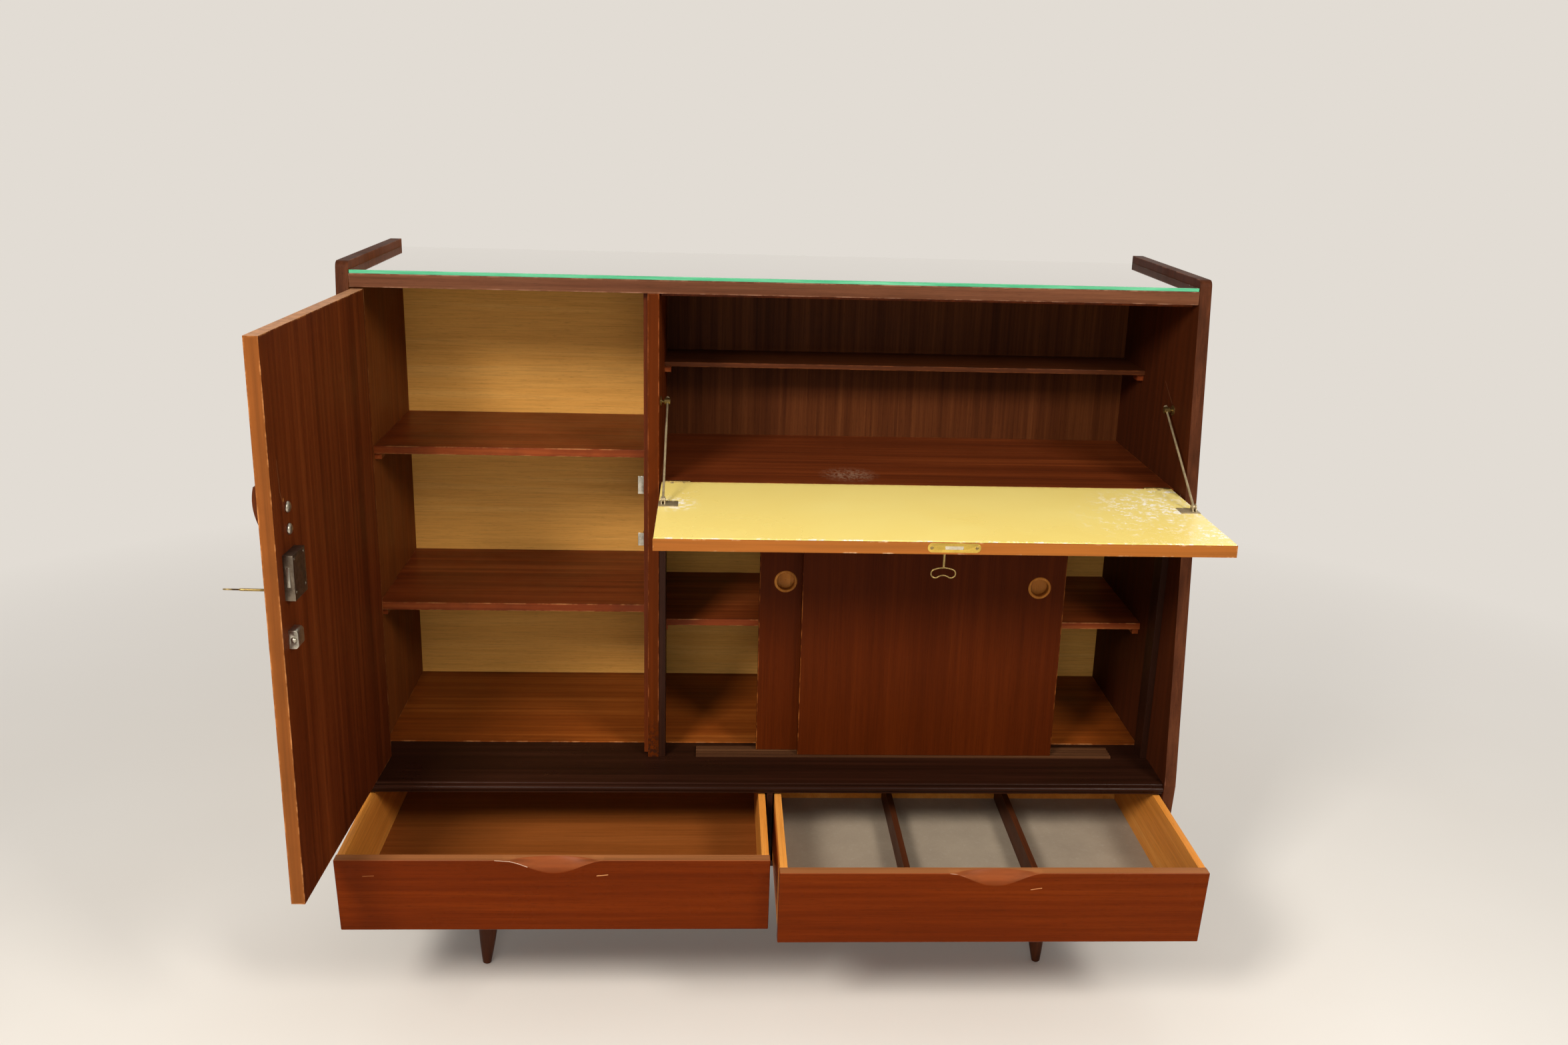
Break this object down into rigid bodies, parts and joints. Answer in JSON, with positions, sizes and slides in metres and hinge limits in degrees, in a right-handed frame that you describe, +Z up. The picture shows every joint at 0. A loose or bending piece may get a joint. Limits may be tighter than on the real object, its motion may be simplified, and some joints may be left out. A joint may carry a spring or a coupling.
{
  "type": "highboard",
  "caption": "Highboard on turned legs with slanted sides and a glass top, a hinged door, a drop-flap bar on sliding stays, sliding doors and drawers with finger scoops.",
  "frame": {"origin": "on the floor, under the middle of the box of the whole highboard as it stands open", "axes": "+X to the right as seen from the front, +Y to the back, +Z up"},
  "size_m": [1.5648, 0.9158, 1.322],
  "materials": {
    "side_veneer": "satin lacquered dark veneer",
    "top_veneer": "satin lacquered dark veneer",
    "ledge_wood": "dark stained and satin lacquered",
    "inner_veneer": "satin lacquered orange-brown veneer",
    "shelf_veneer": "satin lacquered red-brown veneer",
    "bar_veneer": "satin lacquered dark ribbon veneer",
    "back_ply": "matt light plywood",
    "front_veneer": "satin lacquered red-brown veneer",
    "drawer_veneer": "satin lacquered red-brown veneer",
    "drawer_beech": "lacquered light beech",
    "drawer_ply": "plain brown plywood",
    "track_wood": "waxed pale wood",
    "pull_wood": "turned and lacquered wood",
    "laminate": "semi-gloss yellow laminate with scuffs",
    "felt": "worn grey-brown felt",
    "glass": "clear float glass with a green edge",
    "lock_brass": "polished brass",
    "aged_brass": "tarnished brass",
    "nickel": "dull nickel plate",
    "stay_steel": "aged brass-plated steel"
  },
  "bodies": {
    "carcass": {"side_left": "side_veneer", "side_right": "side_veneer", "top_board": "top_veneer", "glass_top": "glass", "divider": "front_veneer", "base_panel": "inner_veneer", "base_rail": "ledge_wood", "ledge_moulding": "ledge_wood", "bar_floor": "inner_veneer", "back_panels": "back_ply", "bar_back": "bar_veneer", "shelf_upper": "shelf_veneer", "shelf_lower": "shelf_veneer", "bar_shelf": "bar_veneer", "cabinet_shelf": "shelf_veneer", "shelf_supports": "shelf_veneer", "stop_battens": "front_veneer", "slider_frame": "front_veneer", "sliding_tracks": "track_wood", "bottom_board": "ledge_wood", "drawer_partition": "ledge_wood", "drawer_runners": "drawer_beech", "legs": "ledge_wood", "door_hinge_fixed": "aged_brass", "striker_plates": "nickel", "flap_hinge_fixed": "aged_brass", "flap_strike": "nickel", "stay_pivots": "aged_brass"},
    "door": {"door_panel": "front_veneer", "door_hinge_leaves": "aged_brass", "door_lock": "nickel", "door_catch": "nickel", "door_handle": "pull_wood", "door_handle_screws": "nickel"},
    "door_key": {"door_key": "aged_brass"},
    "door_bolt": {"door_bolt": "nickel"},
    "catch_ball": {"catch_ball": "nickel"},
    "flap": {"flap_panel": "front_veneer", "flap_laminate": "laminate", "flap_lock": "lock_brass", "flap_hinge_leaves": "aged_brass", "stay_brackets": "stay_steel"},
    "flap_key": {"flap_key": "aged_brass"},
    "flap_bolt": {"flap_bolt": "lock_brass"},
    "stay_rod_left": {"stay_rod_left": "stay_steel"},
    "stay_rod_right": {"stay_rod_right": "stay_steel"},
    "stay_eye_left": {"stay_eye_left": "aged_brass"},
    "stay_eye_right": {"stay_eye_right": "aged_brass"},
    "slider_left": {"sliding_door_left": "front_veneer", "pull_left": "pull_wood"},
    "slider_right": {"sliding_door_right": "front_veneer", "pull_right": "pull_wood"},
    "drawer_left": {"drawer_left_front": "drawer_veneer", "drawer_left_box": "drawer_beech", "drawer_left_bottom": "drawer_ply"},
    "drawer_right": {"drawer_right_front": "drawer_veneer", "drawer_right_box": "drawer_beech", "drawer_right_bottom": "drawer_ply", "drawer_felt": "felt", "drawer_dividers": "drawer_ply"}
  },
  "joints": [
    {"name": "door_swing", "type": "hinge", "parent": "carcass", "child": "door", "pos_m": [-0.69588, 0.04239, 0.8435], "axis": [0, 0, 1], "range_deg": [0, 92]},
    {"name": "door_bolt_throw", "type": "slide", "parent": "door", "child": "door_bolt", "axis": [-0.0349, -0.9994, 0], "range_m": [0, 0.013]},
    {"name": "door_key_turn", "type": "hinge", "parent": "door", "child": "door_key", "pos_m": [-0.70798, -0.40521, 0.897], "axis": [-0.9994, 0.0349, 0], "range_deg": [0, 90]},
    {"name": "catch_ball_press", "type": "slide", "parent": "door", "child": "catch_ball", "axis": [0.0349, 0.9994, 0], "range_m": [0, 0.003], "stiffness_N_per_m": 200},
    {"name": "flap_drop", "type": "hinge", "parent": "carcass", "child": "flap", "pos_m": [0.29337, 0.06691, 0.941], "axis": [1, 0, 0], "range_deg": [-90, 0]},
    {"name": "flap_bolt_throw", "type": "slide", "parent": "flap", "child": "flap_bolt", "axis": [0, -1, 0], "range_m": [0, 0.008]},
    {"name": "flap_key_turn", "type": "hinge", "parent": "flap", "child": "flap_key", "pos_m": [0.29137, -0.25009, 0.92], "axis": [0, 0, -1], "range_deg": [0, 90]},
    {"name": "stay_rod_left_swing", "type": "hinge", "parent": "flap", "child": "stay_rod_left", "pos_m": [-0.16263, -0.07787, 0.949], "axis": [1, 0, 0], "range_deg": [0, 45]},
    {"name": "stay_rod_right_swing", "type": "hinge", "parent": "flap", "child": "stay_rod_right", "pos_m": [0.74937, -0.07787, 0.949], "axis": [1, 0, 0], "range_deg": [0, 45]},
    {"name": "stay_eye_left_turn", "type": "hinge", "parent": "carcass", "child": "stay_eye_left", "pos_m": [-0.16263, 0.1165, 1.07726], "axis": [1, 0, 0], "range_deg": [-45, 0]},
    {"name": "stay_eye_right_turn", "type": "hinge", "parent": "carcass", "child": "stay_eye_right", "pos_m": [0.74937, 0.1165, 1.07726], "axis": [1, 0, 0], "range_deg": [-45, 0]},
    {"name": "slider_left_run", "type": "slide", "parent": "carcass", "child": "slider_left", "axis": [1, 0, 0], "range_m": [-0.1715, 0.2535]},
    {"name": "slider_right_run", "type": "slide", "parent": "carcass", "child": "slider_right", "axis": [1, 0, 0], "range_m": [-0.2495, 0.1755]},
    {"name": "drawer_left_run", "type": "slide", "parent": "carcass", "child": "drawer_left", "axis": [0, -1, 0], "range_m": [-0.225, 0.105]},
    {"name": "drawer_right_run", "type": "slide", "parent": "carcass", "child": "drawer_right", "axis": [0, -1, 0], "range_m": [-0.265, 0.065]}
  ],
  "couplings": [
    {"joint": "door_key_turn", "follows": "door_bolt_throw", "rad_per_m": 120.83},
    {"joint": "flap_key_turn", "follows": "flap_bolt_throw", "rad_per_m": 196.35},
    {"joint": "stay_rod_left_swing", "follows": "flap_drop", "ratio": -0.5},
    {"joint": "stay_rod_right_swing", "follows": "flap_drop", "ratio": -0.5},
    {"joint": "stay_eye_left_turn", "follows": "flap_drop", "ratio": 0.5},
    {"joint": "stay_eye_right_turn", "follows": "flap_drop", "ratio": 0.5}
  ]
}
